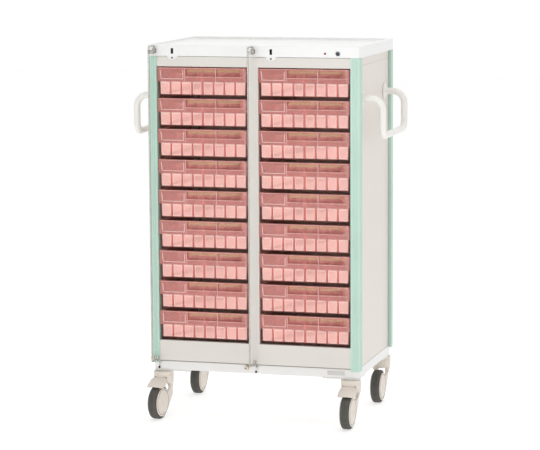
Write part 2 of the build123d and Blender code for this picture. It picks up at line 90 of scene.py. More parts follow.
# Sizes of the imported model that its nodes' boxes don't give.
PAN_LOW = 143.5
BOTTOM_RAIL_TOP = 234.0
STILE_HALF = 16.5
CUP_PITCH = 32.8
CUP_HALF_TOP = 15.3
CUP_HALF_LOW = 14.4
CUP_FRONT_TALL = 38.0
POST_X = 28.5
POST_Y = 28.0
POST_LAP = 6.0
GRIP_R = 9.75
BAR_R = 2.25
BAR_ARM = 48.0
BAR_LOW = 178.0
BAR_HIGH = 1107.0
SLOT_OFFSET = 52.8
SLOT_HALF = 3.8
SLOT_LOW = 1083.0
SLOT_HIGH = 1099.0
UPPER_BARREL = (1084.0, 1099.5)
LOWER_BARREL = (157.0, 171.0)
KEY_X = 255.0
KEY_Z = 1088.0
LAMP_X = 217.0
CASTER_X = 287.0
CASTER_Y = 193.0
CASTER_TRAIL = 40.0
WHEEL_R = 50.0
CROWN_R = 29.5


# ---- Shapes ----
class Shape:
    """Points in millimetres, and faces that index them, each with a material number."""

    def __init__(self, points=(), faces=(), slots=None):
        self.points = [Vector(p) for p in points]
        self.faces = [tuple(f) for f in faces]
        self.slots = list(slots or [0] * len(self.faces))

    def __add__(self, other):
        offset = len(self.points)
        moved = [tuple(i + offset for i in face) for face in other.faces]
        return Shape(self.points + other.points, self.faces + moved, self.slots + other.slots)

    def turned(self, matrix):
        return Shape([matrix @ p for p in self.points], self.faces, self.slots)

    def moved(self, x, y, z=0.0):
        return self.turned(Matrix.Translation((x, y, z)))

    def mirrored(self, x, y=1):
        return self.turned(Matrix.Diagonal((x, y, 1, 1)))

    def painted(self, number):
        return Shape(self.points, self.faces, [number] * len(self.faces))


def joined(shapes):
    return sum(shapes, Shape())


def to_bmesh(shape):
    bm = bmesh.new()
    corners = [bm.verts.new(p) for p in shape.points]
    for face, number in zip(shape.faces, shape.slots):
        bm.faces.new([corners[i] for i in face]).material_index = number
    return bm


def from_bmesh(bm):
    bm.verts.index_update()
    points = [v.co.copy() for v in bm.verts]
    faces = [[v.index for v in f.verts] for f in bm.faces]
    shape = Shape(points, faces, [f.material_index for f in bm.faces])
    bm.free()
    return shape


def rounded(bm, width, segments=2, angle=30, number=-1, height=None):
    """The shape with its edges sharper than an angle rounded, or only those of them at a height."""
    bmesh.ops.recalc_face_normals(bm, faces=bm.faces)
    bm.normal_update()
    edges = [e for e in bm.edges if e.is_manifold and e.calc_face_angle(0) > radians(angle)]
    if height is not None:
        edges = [e for e in edges if all(abs(v.co.z - height) < 0.01 for v in e.verts)]
    bevel = {"offset": width, "segments": segments, "profile": 0.5, "affect": "EDGES", "material": number}
    bmesh.ops.bevel(bm, geom=edges, **bevel)
    return from_bmesh(bm)


def bevelled(shape, *amounts, height=None):
    return rounded(to_bmesh(shape), *amounts, height=height)


def softened(node, width, number=-1):
    """A CAD node's own shape with its sharp edges rounded, about the cabinet's middle."""
    bm = bmesh.new()
    bm.from_mesh(frame["nodes"][node].data)
    for vert in bm.verts:
        vert.co = vert.co / MM - Vector((0, MIDDLE_Y, 0))
    bmesh.ops.remove_doubles(bm, verts=bm.verts, dist=0.002)
    bmesh.ops.dissolve_limit(bm, angle_limit=radians(0.3), verts=bm.verts, edges=bm.edges)
    for face in bm.faces:
        face.material_index = 0
    return rounded(bm, width, number=number)


def block(x, y, z, soft=0.0):
    """Box between two limits on each axis, with rounded edges if soft is given."""
    points = [(px, py, pz) for px in x for py in y for pz in z]
    faces = [(0, 1, 3, 2), (4, 6, 7, 5), (0, 4, 5, 1), (2, 3, 7, 6), (0, 2, 6, 4), (1, 5, 7, 3)]
    shape = Shape(points, faces)
    return bevelled(shape, soft) if soft else shape


def prism(outline, low, high, axis="z", soft=0.0, segments=2):
    """Solid over an outline of two-number points. They are the axes other than the extruded one, in order."""
    order = {"x": (2, 0, 1), "y": (0, 2, 1), "z": (0, 1, 2)}[axis]
    count = len(outline)
    points = [[(a, b, c)[i] for i in order] for c in (low, high) for a, b in outline]
    faces = [tuple(range(count)), tuple(range(count, 2 * count))]
    for i in range(count):
        j = (i + 1) % count
        faces.append((i, j, count + j, count + i))
    shape = Shape(points, faces)
    return bevelled(shape, soft, segments) if soft else shape


def arc(x, y, radius, start, end, steps):
    """Points of an arc, angles in degrees."""
    angles = [radians(start + (end - start) * i / steps) for i in range(steps + 1)]
    return [(x + radius * cos(a), y + radius * sin(a)) for a in angles]


def rounded_rectangle(half_x, half_y, radius, steps):
    inner_x = half_x - radius
    inner_y = half_y - radius
    outline = []
    for quarter, (side, end) in enumerate(((1, 1), (-1, 1), (-1, -1), (1, -1))):
        start = 90 * quarter
        outline += arc(side * inner_x, end * inner_y, radius, start, start + 90, steps)
    return outline


def loft(rings):
    """Skin over rings of points, with flat ends."""
    count = len(rings[0])
    points = [p for ring in rings for p in ring]
    faces = []
    for base in range(0, len(points) - count, count):
        for i in range(count):
            j = (i + 1) % count
            faces.append((base + i, base + j, base + count + j, base + count + i))
    faces.append(tuple(range(count)))
    faces.append(tuple(range(len(points) - count, len(points))))
    return Shape(points, faces)


def lathe(profile, axis, steps, closed=False):
    """Solid turned from (radius, height) points. A radius of 0 closes an end."""
    rings = []
    points = []
    for radius, height in profile:
        ring = []
        for step in range(steps if radius else 1):
            angle = 2 * pi * step / steps
            ring.append(len(points))
            points.append((radius * cos(angle), radius * sin(angle), height))
        rings.append(ring)
    faces = []
    for lower, upper in zip(rings, rings[1:] + (rings[:1] if closed else [])):
        for step in range(steps):
            after = step + 1
            corners = [lower[step % len(lower)], lower[after % len(lower)]]
            corners += [upper[after % len(upper)], upper[step % len(upper)]]
            face = list(dict.fromkeys(corners))
            if len(face) > 2:
                faces.append(face)
    turns = {"z": Matrix(), "x": Matrix.Rotation(pi / 2, 4, "Y"), "y": Matrix.Rotation(-pi / 2, 4, "X")}
    return Shape(points, faces).turned(turns[axis])


def rod(radius, half, axis, steps):
    """Plain cylinder about its own middle."""
    return lathe([(0, -half), (radius, -half), (radius, half), (0, half)], axis, steps)


def bent_path(corners, bends, steps):
    """A line through the corners, each rounded to its own radius."""
    corners = [Vector(c) for c in corners]
    path = [corners[0]]
    for before, corner, after, radius in zip(corners, corners[1:], corners[2:], bends):
        into = (corner - before).normalized()
        out = (after - corner).normalized()
        turn = into.angle(out)
        start = corner - into * radius * tan(turn / 2)
        inward = (out - into * into.dot(out)).normalized()
        centre = start + inward * radius
        for step in range(steps + 1):
            angle = turn * step / steps
            path.append(centre - inward * radius * cos(angle) + into * radius * sin(angle))
    path.append(corners[-1])
    return path


def tube(path, radius, steps):
    """Round bar along a path."""
    rings = []
    side = None
    last = len(path) - 1
    for place, point in enumerate(path):
        ahead = (path[min(place + 1, last)] - path[max(place - 1, 0)]).normalized()
        side = ahead.orthogonal() if side is None else side
        side = (side - ahead * side.dot(ahead)).normalized()
        up = ahead.cross(side)
        angles = [2 * pi * step / steps for step in range(steps)]
        rings.append([point + (side * cos(a) + up * sin(a)) * radius for a in angles])
    return loft(rings)


def add_object(name, data):
    obj = bpy.data.objects.new(name, data)
    bpy.context.scene.collection.objects.link(obj)
    return obj


def mesh_of(shape, name):
    mesh = bpy.data.meshes.new(name)
    mesh.from_pydata([p * MM for p in shape.points], [], shape.faces)
    mesh.polygons.foreach_set("material_index", shape.slots)
    bm = bmesh.new()
    bm.from_mesh(mesh)
    bmesh.ops.recalc_face_normals(bm, faces=bm.faces)
    bm.to_mesh(mesh)
    bm.free()
    return mesh


def cut(shape, tools):
    """The shape less the tools, which are closed shapes."""
    objects = []
    for number, solid in enumerate((shape, joined(tools))):
        objects.append(add_object(f"cut_{number}", mesh_of(solid, f"cut_{number}")))
    modifier = objects[0].modifiers.new("cut", "BOOLEAN")
    modifier.operation = "DIFFERENCE"
    modifier.solver = "EXACT"
    modifier.object = objects[1]
    bpy.context.view_layer.update()
    graph = bpy.context.evaluated_depsgraph_get()
    mesh = bpy.data.meshes.new_from_object(objects[0].evaluated_get(graph))
    points = [v.co / MM for v in mesh.vertices]
    slots = [p.material_index for p in mesh.polygons]
    result = Shape(points, [tuple(p.vertices) for p in mesh.polygons], slots)
    for obj in objects:
        bpy.data.objects.remove(obj)
    bpy.data.meshes.remove(mesh)
    return result


def piece(name, shape, materials, body, replaced=(), place=None, sharp=38, mesh=None):
    """Makes one visible piece. place is its matrix in millimetres, or None for the cabinet's own middle."""
    if mesh is None:
        mesh = mesh_of(shape, name)
        for material in materials:
            mesh.materials.append(material)
        mesh.shade_smooth()
        mesh.set_sharp_from_angle(angle=radians(sharp))
    obj = add_object(name, mesh)
    obj.modifiers.new("normals", "WEIGHTED_NORMAL").keep_sharp = True
    matrix = Matrix.Translation((0, MIDDLE_Y, 0)) if place is None else place.copy()
    matrix.translation = matrix.translation * MM
    obj.matrix_world = matrix
    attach(obj, body)
    if replaced:
        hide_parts(*replaced)
    return obj


def fixed(name, shape, material, slot, *nodes):
    """A piece of one material on the cabinet. It stands for the nodes named."""
    piece(name, shape, [material], "cabinet", nodes)


def at_four_corners(shape):
    return joined([shape.mirrored(side, end) for side in (-1, 1) for end in (-1, 1)])


# ---- Materials ----
class Tree:
    """The nodes of a material or world, with short ways to add and join them."""

    def __init__(self, owner):
        owner.use_nodes = True
        self.owner = owner
        self.nodes = owner.node_tree.nodes
        self.links = owner.node_tree.links
        self.coordinates = self.add("TexCoord").outputs

    def feed(self, socket, value):
        """Links a socket to another one, or sets its value."""
        if isinstance(value, bpy.types.NodeSocket):
            self.links.new(value, socket)
        else:
            socket.default_value = value

    def add(self, kind, values=None, **settings):
        node = self.nodes.new("ShaderNode" + kind)
        for key, value in settings.items():
            setattr(node, key, value)
        for key, value in (values or {}).items():
            self.feed(node.inputs[key], value)
        return node

    def noise(self, scale, detail, roughness, stretch=(1, 1, 1)):
        """Noise from 0 to 1. scale is in repeats per metre."""
        mapping = self.add("Mapping", {"Vector": self.coordinates["Object"], "Scale": stretch})
        values = {"Vector": mapping.outputs[0], "Scale": scale, "Detail": detail, "Roughness": roughness}
        return self.add("TexNoise", values).outputs["Fac"]

    def remap(self, value, low, high, to_low, to_high):
        values = {"Value": value, "From Min": low, "From Max": high, "To Min": to_low, "To Max": to_high}
        return self.add("MapRange", values).outputs["Result"]

    def blend(self, amount, first, second):
        return self.add("Mix", {0: amount, 6: first, 7: second}, data_type="RGBA").outputs[2]

    def tones(self, noise, colour, dark, light):
        """The colour in two tones, with noise between them."""
        return self.blend(self.remap(noise, 0.3, 0.7, 0.0, 1.0), shade(colour, dark), shade(colour, light))

    def sum(self, first, second):
        return self.add("Math", {0: first, 1: second}, operation="ADD").outputs[0]

    def bump(self, height, distance, strength=1.0, normal=None):
        values = {"Height": height, "Distance": distance, "Strength": strength}
        if normal is not None:
            values["Normal"] = normal
        return self.add("Bump", values).outputs["Normal"]

    def set(self, **values):
        """Sets the shader's sockets. Underscores stand for the spaces in their names."""
        for key, value in values.items():
            self.feed(self.nodes["Principled BSDF"].inputs[key.replace("_", " ")], value)


def surface(name):
    return Tree(bpy.data.materials.new(name))


def shade(colour, factor):
    return tuple(min(1.0, c * factor) for c in colour[:3]) + (1.0,)


def linear(red, green, blue):
    """A colour given as it looks on screen, from 0 to 255, as linear light."""
    parts = [c / 255 for c in (red, green, blue)]
    return tuple(c / 12.92 if c <= 0.04045 else ((c + 0.055) / 1.055) ** 2.4 for c in parts) + (1.0,)


def enamel(name, colour, rough, texture):
    """Baked powder coat: orange peel, faint unevenness and light scuffs."""
    tree = surface(name)
    clouds = tree.noise(5.0, 4.0, 0.6)
    coat = tree.tones(clouds, colour, 0.975, 1.02)
    streaks = tree.noise(26.0, 6.0, 0.7, (1, 1, 0.25))
    scuffs = tree.remap(streaks, 0.66, 0.8, 0.0, 0.05)
    peel = tree.noise(900.0, 2.0, 0.5)
    fine = tree.noise(2600.0, 1.0, 0.4)
    coarse_bump = tree.bump(peel, 0.00012 * texture, 0.35)
    tree.set(
        Base_Color=tree.blend(scuffs, coat, shade(colour, 0.6)),
        Roughness=tree.remap(clouds, 0.25, 0.75, rough - 0.04, rough + 0.07),
        Normal=tree.bump(fine, 0.00004 * texture, 0.3, coarse_bump),
        Coat_Weight=0.12,
        Coat_Roughness=0.22,
    )
    return tree.owner


def extruded(name, colour):
    """Satin extruded plastic: fine lines along its length under a smooth skin."""
    tree = surface(name)
    lines = tree.noise(420.0, 3.0, 0.6, (1, 1, 0.01))
    clouds = tree.noise(7.0, 3.0, 0.5)
    base = tree.tones(clouds, colour, 0.96, 1.03)
    tree.set(
        Base_Color=tree.blend(tree.remap(lines, 0.3, 0.7, 0.0, 0.22), base, shade(colour, 0.86)),
        Roughness=tree.remap(lines, 0.2, 0.8, 0.27, 0.42),
        Normal=tree.bump(lines, 0.00012, 0.4),
        Coat_Weight=0.15,
        Coat_Roughness=0.2,
    )
    return tree.owner


def drawn_steel(name, colour, rough=0.22, along=(1, 1, 0.02)):
    """Bright drawn or machined steel with fine lines and darker smudges."""
    tree = surface(name)
    lines = tree.noise(1500.0, 4.0, 0.6, along)
    smudges = tree.noise(30.0, 4.0, 0.6)
    tree.set(
        Base_Color=tree.blend(tree.remap(smudges, 0.4, 0.75, 0.0, 0.5), colour, shade(colour, 0.72)),
        Metallic=1.0,
        Roughness=tree.remap(lines, 0.2, 0.8, rough - 0.05, rough + 0.1),
        Normal=tree.bump(lines, 0.00005, 0.4),
    )
    return tree.owner


def moulded(name, colour, rough, grain=1.0, subsurface=0.0):
    """Moulded plastic: fine grain, slight flow marks and faint dirt."""
    tree = surface(name)
    flow = tree.noise(14.0, 4.0, 0.55, (1, 1, 0.5))
    grain_noise = tree.noise(1500.0, 2.0, 0.6)
    dirt = tree.noise(60.0, 5.0, 0.7)
    base = tree.tones(flow, colour, 0.95, 1.04)
    tree.set(
        Base_Color=tree.blend(tree.remap(dirt, 0.6, 0.85, 0.0, 0.16), base, shade(colour, 0.7)),
        Roughness=tree.remap(grain_noise, 0.2, 0.8, rough - 0.06, rough + 0.08),
        Normal=tree.bump(grain_noise, 0.00008 * grain, 0.4),
        Subsurface_Weight=subsurface,
        Subsurface_Radius=(0.012, 0.006, 0.005),
        Subsurface_Scale=0.4,
    )
    return tree.owner


def rubber(name, colour):
    """Dull rubber, with dust in patches and fine pores."""
    tree = surface(name)
    dust = tree.noise(90.0, 6.0, 0.7)
    pores = tree.noise(1800.0, 3.0, 0.6)
    dusty = tree.remap(dust, 0.35, 0.75, 0.0, 1.0)
    tree.set(
        Base_Color=tree.blend(dusty, shade(colour, 0.85), shade(colour, 1.35)),
        Roughness=tree.remap(dust, 0.3, 0.7, 0.62, 0.82),
        Normal=tree.bump(pores, 0.00015, 0.5),
    )
    return tree.owner


def clear_plastic(name, tint, body, haze, rim_haze):
    """Clear moulded plastic with some haze, which grows to rim_haze where it is seen edge on."""
    tree = surface(name)
    haze_noise = tree.noise(18.0, 4.0, 0.6)
    scratches = tree.noise(240.0, 5.0, 0.75, (0.25, 1, 1))
    tree.set(
        Base_Color=tree.tones(haze_noise, body, 0.94, 1.05),
        Roughness=tree.remap(scratches, 0.3, 0.8, 0.06, 0.2),
        Normal=tree.bump(haze_noise, 0.0002, 0.2),
        Coat_Weight=0.3,
        Coat_Roughness=0.05,
    )
    facing = tree.add("LayerWeight", {"Blend": 0.35}).outputs["Facing"]
    clouds = tree.remap(haze_noise, 0.3, 0.75, -0.02, 0.03)
    amount = tree.sum(tree.remap(facing, 0.0, 1.0, haze, rim_haze), clouds)
    through = tree.add("BsdfTransparent", {"Color": tint})
    plastic = tree.nodes["Principled BSDF"].outputs[0]
    mix = tree.add("MixShader", {0: amount, 1: through.outputs[0], 2: plastic})
    tree.links.new(mix.outputs[0], tree.nodes["Material Output"].inputs["Surface"])
    return tree.owner


BLACK = moulded("blackened_steel", linear(24, 24, 25), 0.5)
RUST = moulded("brown_steel", linear(92, 58, 44), 0.5)
WHITE = enamel("white_enamel", linear(229, 228, 226), 0.32, 0.8)
WORKTOP = enamel("worktop_enamel", linear(233, 233, 232), 0.3, 0.6)
PANEL = enamel("panel_enamel", linear(222, 215, 207), 0.42, 2.0)
FRAME = enamel("frame_enamel", linear(215, 211, 204), 0.38, 1.2)
INSIDE = enamel("inner_enamel", linear(240, 234, 224), 0.45, 1.4)
GREEN = extruded("green_extrusion", linear(187, 216, 202))
GRIP = moulded("grip_plastic", linear(233, 230, 225), 0.36, 0.6)
STEEL = drawn_steel("bar_steel", linear(190, 186, 180))
ZINC = drawn_steel("zinc_fittings", linear(168, 164, 158), 0.34, (1, 1, 1))
CHROME = drawn_steel("lock_chrome", linear(150, 152, 154), 0.16, (1, 1, 1))
KEYWAY = drawn_steel("keyway_steel", linear(62, 68, 72), 0.3, (1, 1, 1))
NYLON = moulded("caster_nylon", linear(222, 213, 202), 0.42, 1.2)
# Darker nylon: painted shadow lines on the casters and under the bottom rail, and the casters' rivets.
DARK_NYLON_AND_SHADE = moulded("dark_nylon_and_painted_shade", linear(128, 120, 110), 0.5)
PEDAL = moulded("pedal_nylon", linear(224, 214, 203), 0.4, 1.4)
TYRE = rubber("tyre_rubber", linear(78, 76, 72))
HUB = moulded("hub_nylon", linear(196, 190, 182), 0.45)
BUMPER = rubber("bumper_rubber", linear(216, 206, 192))
PLATE = moulded("plate_aluminium", linear(204, 202, 199), 0.3, 0.5)
LENS = moulded("red_lens", linear(150, 6, 14), 0.5, 0.2)
PINK = moulded("cup_plastic", linear(246, 201, 193), 0.4, 0.5)
# Paler pink on the cups' rims and front borders: a painted highlight.
CUP_HIGHLIGHT = moulded("cup_painted_highlight", linear(252, 222, 216), 0.35, 0.4, 0.1)
CLEAR = clear_plastic("clear_wall", (0.99, 0.97, 0.965, 1), linear(232, 176, 168), 0.03, 0.2)
# The drawers' front band in a hazy pink: a painted glow standing for the light inside the drawer seen through
# the clear front.
BAND_INNER_LIGHT = clear_plastic("band_painted_inner_light", (0.99, 0.96, 0.95, 1), linear(250, 168, 160), 0.32, 0.46)
# Tan behind the finger pull: painted shade, the look of the dim interior behind the cups.
INTERIOR_SHADE = clear_plastic("painted_interior_shade", (0.99, 0.97, 0.95, 1), linear(224, 190, 152), 0.36, 0.5)
# Red on the ribs between the cups: painted shade standing for the darker gaps between cups.
GAP_SHADE_RIB = moulded("rib_painted_gap_shade", linear(218, 112, 104), 0.4, 0.4)
# The trays' rounded edges in a more opaque red: a painted reflection glowing along the edges.
EDGE_REFLECTION = clear_plastic("clear_painted_edge_reflection", (0.95, 0.85, 0.83, 1), linear(214, 112, 104), 0.45, 0.8)
# Whitish ridges on the trays' fronts: painted highlights.
RIDGE_HIGHLIGHT = clear_plastic("clear_painted_ridge_highlight", (0.97, 0.93, 0.92, 1), linear(246, 220, 215), 0.62, 0.85)


# ---- Worktop and base ----
def pan(half_x, half_y, levels):
    """Shell swept round a rounded rectangle from (inset, height) levels, closed at both ends."""
    corner = 9.0
    rings = []
    for inset, height in levels:
        radius = max(corner - inset, 2.5)
        outline = rounded_rectangle(half_x - inset, half_y - inset, radius, 5)
        rings.append([(x, y, height) for x, y in outline])
    return loft(rings)


def slot_middle(side):
    return joint_place(f"lock_bar_{side}_swing")[0] + SLOT_OFFSET


def rod_slots():
    """The two apron slots as closed cutters."""
    shapes = []
    for side in ("left", "right"):
        middle = slot_middle(side)
        y = (-HALF_Y - 4, -HALF_Y + 8)
        shapes.append(block((middle - SLOT_HALF, middle + SLOT_HALF), y, (SLOT_LOW, SLOT_HIGH)))
    return shapes


def worktop():
    """Top with a raised rim, a rounded upper edge and a deep apron with its slots and holes."""
    rim = 12.0
    deck = TOP - 8.0
    inner_edge = 80.0
    return_lip = 15.0
    outer = arc(2.6, TOP - 2.6, 2.6, 90, 180, 4)
    inner = arc(rim - 2.0, TOP - 2.0, 2.0, 0, 90, 3)
    foot = arc(rim + 3.0, deck + 3.0, 3.0, 270, 180, 3)
    levels = [(inner_edge, deck - 0.6)] + foot + inner + outer
    levels += [(0.0, APRON_LOW + 1.2), (0.4, APRON_LOW + 0.3), (1.2, APRON_LOW)]
    levels += [(return_lip, APRON_LOW), (return_lip, APRON_LOW + 1.6)]
    levels += [(2.0, APRON_LOW + 1.6), (2.0, deck - 3.0)]
    shell = pan(HALF_X, HALF_Y, levels)
    key_hole = rod(5.0, 6, "y", 20).moved(KEY_X, -HALF_Y, KEY_Z)
    lamp_hole = rod(3.3, 6, "y", 16).moved(LAMP_X, -HALF_Y, KEY_Z)
    shell = cut(shell, rod_slots() + [key_hole, lamp_hole])
    fixed("worktop", shell, WORKTOP, "white_enamel", "top_tray")


def slot_frames():
    """Dark liners in and behind the apron slots, and the tabs that hang below them on the top rail."""
    wall = 0.8
    tab_high = 1077.0
    tab_low = 1066.5
    y = (-HALF_Y + 0.3, -HALF_Y + 3.4)
    behind = (-HALF_Y + 14.0, -HALF_Y + 15.0)
    liners = Shape()
    tabs = Shape()
    for side in ("left", "right"):
        middle = slot_middle(side)
        x_low, x_high = middle - SLOT_HALF, middle + SLOT_HALF
        for x in ((x_low, x_low + wall), (x_high - wall, x_high)):
            liners += block(x, y, (SLOT_LOW, SLOT_HIGH))
        for z in ((SLOT_LOW, SLOT_LOW + wall), (SLOT_HIGH - wall, SLOT_HIGH)):
            liners += block((x_low, x_high), y, z)
        liners += block((middle - 16, middle + 9), behind, (APRON_LOW + 1.8, SLOT_HIGH + 1.5))
        outline = [(middle - 17, tab_high), (middle + 17, tab_high)]
        outline += [(middle + 9, tab_low), (middle - 9, tab_low)]
        tabs += prism(outline, -HALF_Y + 0.4, -HALF_Y + 2.0, "y", 0.5)
    fixed("slot_liners", liners, BLACK, "steel")
    fixed("strike_tabs", tabs, WHITE, "white_enamel")


def base():
    """Base pan, and under its corners the plates that carry the casters."""
    low = PAN_LOW
    levels = [(4.0, BASE_TOP - 3.0), (4.0, low + 1.6), (16.0, low + 1.6), (16.0, low), (1.8, low)]
    levels += [(0.5, low + 0.5), (0.0, low + 1.8), (0.0, BASE_TOP - 1.8), (0.5, BASE_TOP - 0.5)]
    levels += [(1.8, BASE_TOP), (60.0, BASE_TOP)]
    shell = pan(BASE_HALF_X, BASE_HALF_Y, levels)
    inner_x, inner_y = BASE_HALF_X - 110, BASE_HALF_Y - 90
    outline = [(inner_x, inner_y), (BASE_HALF_X - 1, inner_y)]
    outline += arc(BASE_HALF_X - 10, BASE_HALF_Y - 10, 9.5, 0, 90, 5)
    outline += [(inner_x, BASE_HALF_Y - 1)]
    plate = prism(outline, low - 4, low - 0.2, "z", 0.7)
    stem = lathe([(0, 126), (7.4, 126), (8, 127), (8, low - 3), (0, low - 3)], "z", 24)
    plate += stem.moved(CASTER_X, CASTER_Y)
    for x, y in ((-95, -75), (-95, -12), (-22, -75)):
        head = lathe([(0, -2.2), (4.2, -2.2), (4.8, -1.6), (4.8, 0.5), (0, 0.5)], "z", 6)
        plate += head.moved(BASE_HALF_X + x, BASE_HALF_Y + y, low - 4)
    fixed("base_pan", shell, WHITE, "white_enamel", "base_tray")
    fixed("swivel_plates", at_four_corners(plate), WHITE, "white_enamel")


# ---- Posts, panels and frame ----
def fluted_outline():
    """Section of a corner post, its outer corner towards +x and +y, with three flutes on each outer face."""
    flutes = (9.0, 14.6, 20.2)
    wide = 2.6
    deep = 1.1
    outline = [(HALF_X - POST_X, HALF_Y - POST_Y), (HALF_X, HALF_Y - POST_Y)]
    for along in reversed(flutes):
        at = HALF_Y - along
        outline += [(HALF_X, at - wide / 2), (HALF_X - deep, at - wide / 2 + 0.7)]
        outline += [(HALF_X - deep, at + wide / 2 - 0.7), (HALF_X, at + wide / 2)]
    outline += arc(HALF_X - 6.0, HALF_Y - 6.0, 6.0, 0, 90, 6)
    for along in flutes:
        at = HALF_X - along
        outline += [(at + wide / 2, HALF_Y), (at + wide / 2 - 0.7, HALF_Y - deep)]
        outline += [(at - wide / 2 + 0.7, HALF_Y - deep), (at - wide / 2, HALF_Y)]
    outline += [(HALF_X - POST_X, HALF_Y)]
    return outline


def posts():
    """Four fluted columns, each with a lip that laps over the base and has a rounded lower edge."""
    outline = fluted_outline()
    column = prism(outline, BASE_TOP, APRON_LOW)
    gap = 0.2
    lap = [(HALF_X - POST_X, BASE_HALF_Y + gap), (BASE_HALF_X + gap, BASE_HALF_Y + gap)]
    lap += [(BASE_HALF_X + gap, HALF_Y - POST_Y)] + outline[1:]
    foot = BASE_TOP - POST_LAP
    lip = bevelled(prism(lap, foot, BASE_TOP), 0.5, height=foot)
    total = at_four_corners(column + lip)
    piece("corner_posts", total, [GREEN], "cabinet", ["corner_posts"], sharp=30)


def side_walls():
    """Side sheets with folded returns and a shallow joggle under the worktop."""
    outer = PANEL_HIGH.x
    front = PANEL_LOW.y - MIDDLE_Y
    back = PANEL_HIGH.y - MIDDLE_Y
    low, high = PANEL_LOW.z, PANEL_HIGH.z
    joggle = high - 25.0
    fold = outer - 13.5
    sheet = [(outer - 2, front), (fold, front), (fold, front + 1.6), (outer - 2, front + 1.6)]
    total = Shape()
    for side in (-1, 1):
        wall = block((outer - 2, outer), (front, back), (low, joggle), 0.6)
        wall += block((outer - 2, outer - 0.5), (front, back), (joggle, high), 0.5)
        wall += prism(sheet, low, high)
        wall += block((outer - 14, outer - 1.2), (back - 2, back), (low, high), 0.5)
        total += wall.mirrored(side)
    fixed("side_walls", total, PANEL, "warm_white_enamel", "side_panels")


def screw(radius, deep=1.4):
    """Pan-head screw along -y, with a cross recess cut into its head."""
    profile = [(0, -deep), (radius * 0.55, -deep * 0.98), (radius * 0.85, -deep * 0.7)]
    profile += [(radius, -deep * 0.25), (radius, 0.6), (0, 0.6)]
    head = lathe(profile, "y", 20)
    arm = radius * 0.6
    thin = radius * 0.13
    level = block((-arm, arm), (-deep - 1, -deep * 0.45), (-thin, thin))
    upright = block((-thin, thin), (-deep - 1, -deep * 0.4), (-arm, arm))
    return cut(cut(head, [level]), [upright])


def back_wall():
    """Back sheet with two raised fields and screws round its edge."""
    outer = BACK_HIGH.y - MIDDLE_Y
    half = BACK_HIGH.x
    low, high = BACK_LOW.z, BACK_HIGH.z
    sheet = block((-half, half), (outer - 2, outer), (low, high), 0.6)
    heads = Shape()
    head = screw(3.6).mirrored(1, -1)
    waist = (low + high) / 2
    margin = 45
    for field_low, field_high in ((low + margin, waist - 20), (waist + 20, high - margin)):
        middle = (field_low + field_high) / 2
        tall = (field_high - field_low) / 2
        rings = []
        for inset, rise in ((0.0, -0.5), (4.0, 2.6), (7.0, 3.2)):
            outline = rounded_rectangle(half - margin - inset, tall - inset, 22 - inset, 5)
            rings.append([(x, outer + rise, middle + z) for x, z in outline])
        sheet += loft(rings)
    for x in (-half + 12, half - 12):
        for step in range(6):
            heads += head.moved(x, outer, low + 20 + (high - low - 40) * step / 5)
    for x in (-half / 3, half / 3):
        for z in (low + 14, high - 14):
            heads += head.moved(x, outer, z)
    fixed("back_wall", sheet, PANEL, "warm_white_enamel", "back_panel")
    fixed("back_screws", heads, ZINC, "steel")


def front_frame():
    """Top and bottom rails and the stile between the columns, of folded sheet."""
    front = FRAME_LOW.y - MIDDLE_Y
    face = (front, front + 2)
    fold = (front + 1.2, front + 15)
    half = FRAME_HIGH.x
    top_low = DRAWER_HIGH.z + 2.5
    low_high = BOTTOM_RAIL_TOP
    shapes = []
    for low, high in ((top_low, FRAME_HIGH.z - 1.0), (FRAME_LOW.z + 1.8, low_high)):
        shapes.append(block((-half, half), face, (low, high), 0.7))
        for z in ((low, low + 2), (high - 2, high)):
            shapes.append(block((-half, half), fold, z, 0.5))
    shapes.append(block((-STILE_HALF, STILE_HALF), face, (low_high - 0.5, top_low + 0.5), 0.9))
    for x in ((-STILE_HALF, 2 - STILE_HALF), (STILE_HALF - 2, STILE_HALF)):
        shapes.append(block(x, fold, (low_high, top_low), 0.5))
    fixed("front_rails", joined(shapes), FRAME, "warm_white_enamel", "front_frame")


def rail_painted_shadow():
    """Dark strip in the joint between the bottom rail and the base: a painted shadow line under the rail."""
    reach = HALF_X - POST_X
    shadow_strip = block((-reach, reach), (-HALF_Y + 1.4, -HALF_Y + 4.0), (BASE_TOP, BASE_TOP + 1.7), 0.3)
    fixed("rail_painted_shadow", shadow_strip, DARK_NYLON_AND_SHADE, "grey_nylon")


def inner_parts():
    """Centre wall and drawer runners, as packed but with rounded edges."""
    for node in ("centre_wall", "drawer_runners"):
        fixed(node, softened(node, 0.5), INSIDE, "warm_white_enamel", node)


# ---- Drawers and cups ----
# Material numbers on a drawer's tray: clear wall, edge in a painted red reflection, front band in a painted
# pink glow for the light inside, raised line in a painted highlight, strip in painted shade of the interior,
# red rib in painted shade for the gaps between cups.
REFLECTING_EDGE, FRONT_BAND, HIGHLIGHT_LINE, SHADE_STRIP, GAP_SHADE = range(1, 6)


